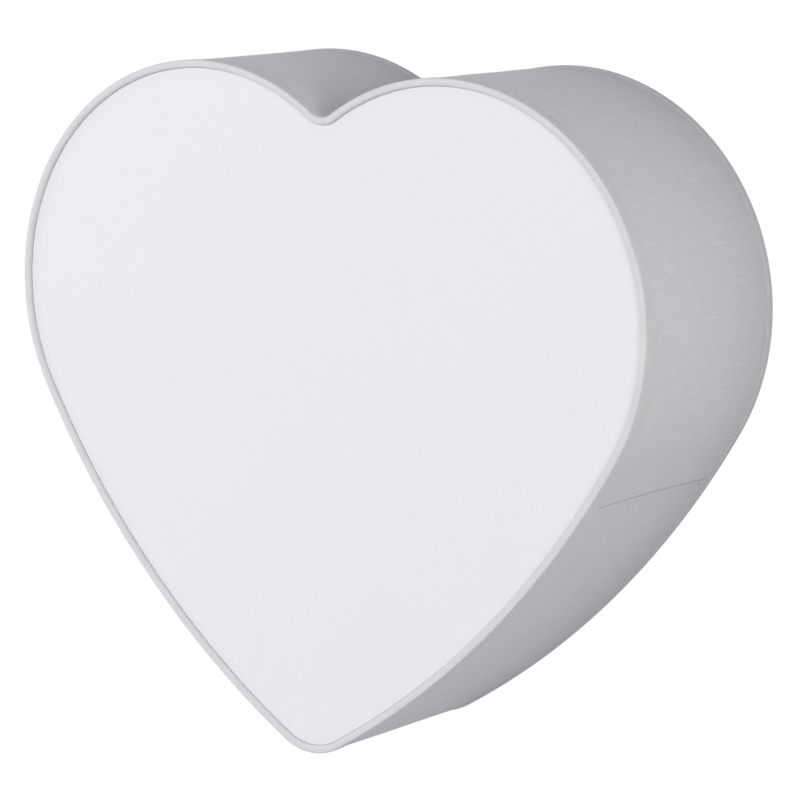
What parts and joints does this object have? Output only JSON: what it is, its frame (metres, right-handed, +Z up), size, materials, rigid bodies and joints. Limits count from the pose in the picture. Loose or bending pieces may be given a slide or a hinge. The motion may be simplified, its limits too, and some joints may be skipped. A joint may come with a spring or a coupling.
{
  "type": "heart-shaped wall light",
  "caption": "Heart-shaped cloth wall light: a bound cloth shade with a flat cloth front that pulls off a wall tray with screw-in lamps.",
  "frame": {"origin": "middle of the wall tray, on the wall", "axes": "+Z up, -Y out of the wall towards the viewer, +X to the viewer's right"},
  "size_m": [0.4, 0.1245, 0.3605],
  "materials": {
    "shade_cloth": "matte fine plain weave on a thin stiff sheet",
    "panel_cloth": "matte fine plain weave on a thin stiff sheet",
    "binding_tape": "soft folded cotton tape",
    "frame_wire": "satin white powder coat",
    "tray_paint": "satin white powder coat",
    "bracket_steel": "zinc plated",
    "spring_steel": "polished spring steel",
    "rivet_steel": "plain",
    "screw_steel": "zinc plated",
    "brass": "plain pressed brass",
    "tinned_copper": "tinned",
    "holder_plastic": "white moulding",
    "holder_ceramic": "unglazed",
    "terminal_plastic": "natural moulding",
    "grommet_rubber": "matte",
    "lamp_diffuser": "frosted",
    "lamp_plastic": "satin white moulding",
    "lamp_nickel": "nickel plated",
    "lamp_glass": "black insulating glass",
    "live_insulation": "brown insulation",
    "neutral_insulation": "blue insulation",
    "earth_insulation": "green and yellow insulation"
  },
  "bodies": {
    "wall_base": {"wall_tray": "tray_paint", "cable_grommet": "grommet_rubber", "upper_left_clip": "spring_steel", "upper_right_clip": "spring_steel", "lower_left_clip": "spring_steel", "lower_right_clip": "spring_steel", "clip_rivets": "rivet_steel", "lampholder_bracket": "bracket_steel", "bracket_rivets": "rivet_steel", "terminal_block": "terminal_plastic", "terminal_inserts": "brass", "terminal_screws": "screw_steel", "terminal_fixing_screws": "screw_steel", "earth_screw": "brass", "earth_washer": "screw_steel", "earth_lug": "tinned_copper", "earth_wire": "earth_insulation", "left_holder_cap": "holder_plastic", "left_holder_skirt": "holder_plastic", "left_holder_insert": "holder_ceramic", "left_holder_shell": "brass", "left_holder_contact": "brass", "left_holder_nipple": "screw_steel", "left_nipple_nut": "screw_steel", "left_live_wire": "live_insulation", "left_neutral_wire": "neutral_insulation", "right_holder_cap": "holder_plastic", "right_holder_skirt": "holder_plastic", "right_holder_insert": "holder_ceramic", "right_holder_shell": "brass", "right_holder_contact": "brass", "right_holder_nipple": "screw_steel", "right_nipple_nut": "screw_steel", "right_live_wire": "live_insulation", "right_neutral_wire": "neutral_insulation"},
    "shade": {"side_wall": "shade_cloth", "front_panel": "panel_cloth", "front_ring": "frame_wire", "rear_ring": "frame_wire", "front_binding": "binding_tape", "rear_binding": "binding_tape", "upper_rail": "frame_wire", "lower_rail": "frame_wire"},
    "left_lamp_foot": {"left_lamp_tip": "brass"},
    "left_lamp": {"left_lamp_globe": "lamp_diffuser", "left_lamp_housing": "lamp_plastic", "left_lamp_cap": "lamp_nickel", "left_lamp_insulator": "lamp_glass"},
    "right_lamp_foot": {"right_lamp_tip": "brass"},
    "right_lamp": {"right_lamp_globe": "lamp_diffuser", "right_lamp_housing": "lamp_plastic", "right_lamp_cap": "lamp_nickel", "right_lamp_insulator": "lamp_glass"}
  },
  "joints": [
    {"name": "shade_pull", "type": "slide", "parent": "wall_base", "child": "shade", "axis": [0, -1, 0], "range_m": [0, 0.135]},
    {"name": "left_lamp_travel", "type": "slide", "parent": "wall_base", "child": "left_lamp_foot", "axis": [-1, 0, 0], "range_m": [0, 0.0182]},
    {"name": "left_lamp_turn", "type": "hinge", "parent": "left_lamp_foot", "child": "left_lamp", "pos_m": [-0.051, -0.06, 0], "axis": [-1, 0, 0], "range_deg": [0, 1800]},
    {"name": "right_lamp_travel", "type": "slide", "parent": "wall_base", "child": "right_lamp_foot", "axis": [1, 0, 0], "range_m": [0, 0.0182]},
    {"name": "right_lamp_turn", "type": "hinge", "parent": "right_lamp_foot", "child": "right_lamp", "pos_m": [0.051, -0.06, 0], "axis": [1, 0, 0], "range_deg": [0, 1800]}
  ],
  "couplings": [
    {"joint": "left_lamp_travel", "follows": "left_lamp_turn", "m_per_rad": 0.00057749},
    {"joint": "right_lamp_travel", "follows": "right_lamp_turn", "m_per_rad": 0.00057749}
  ]
}
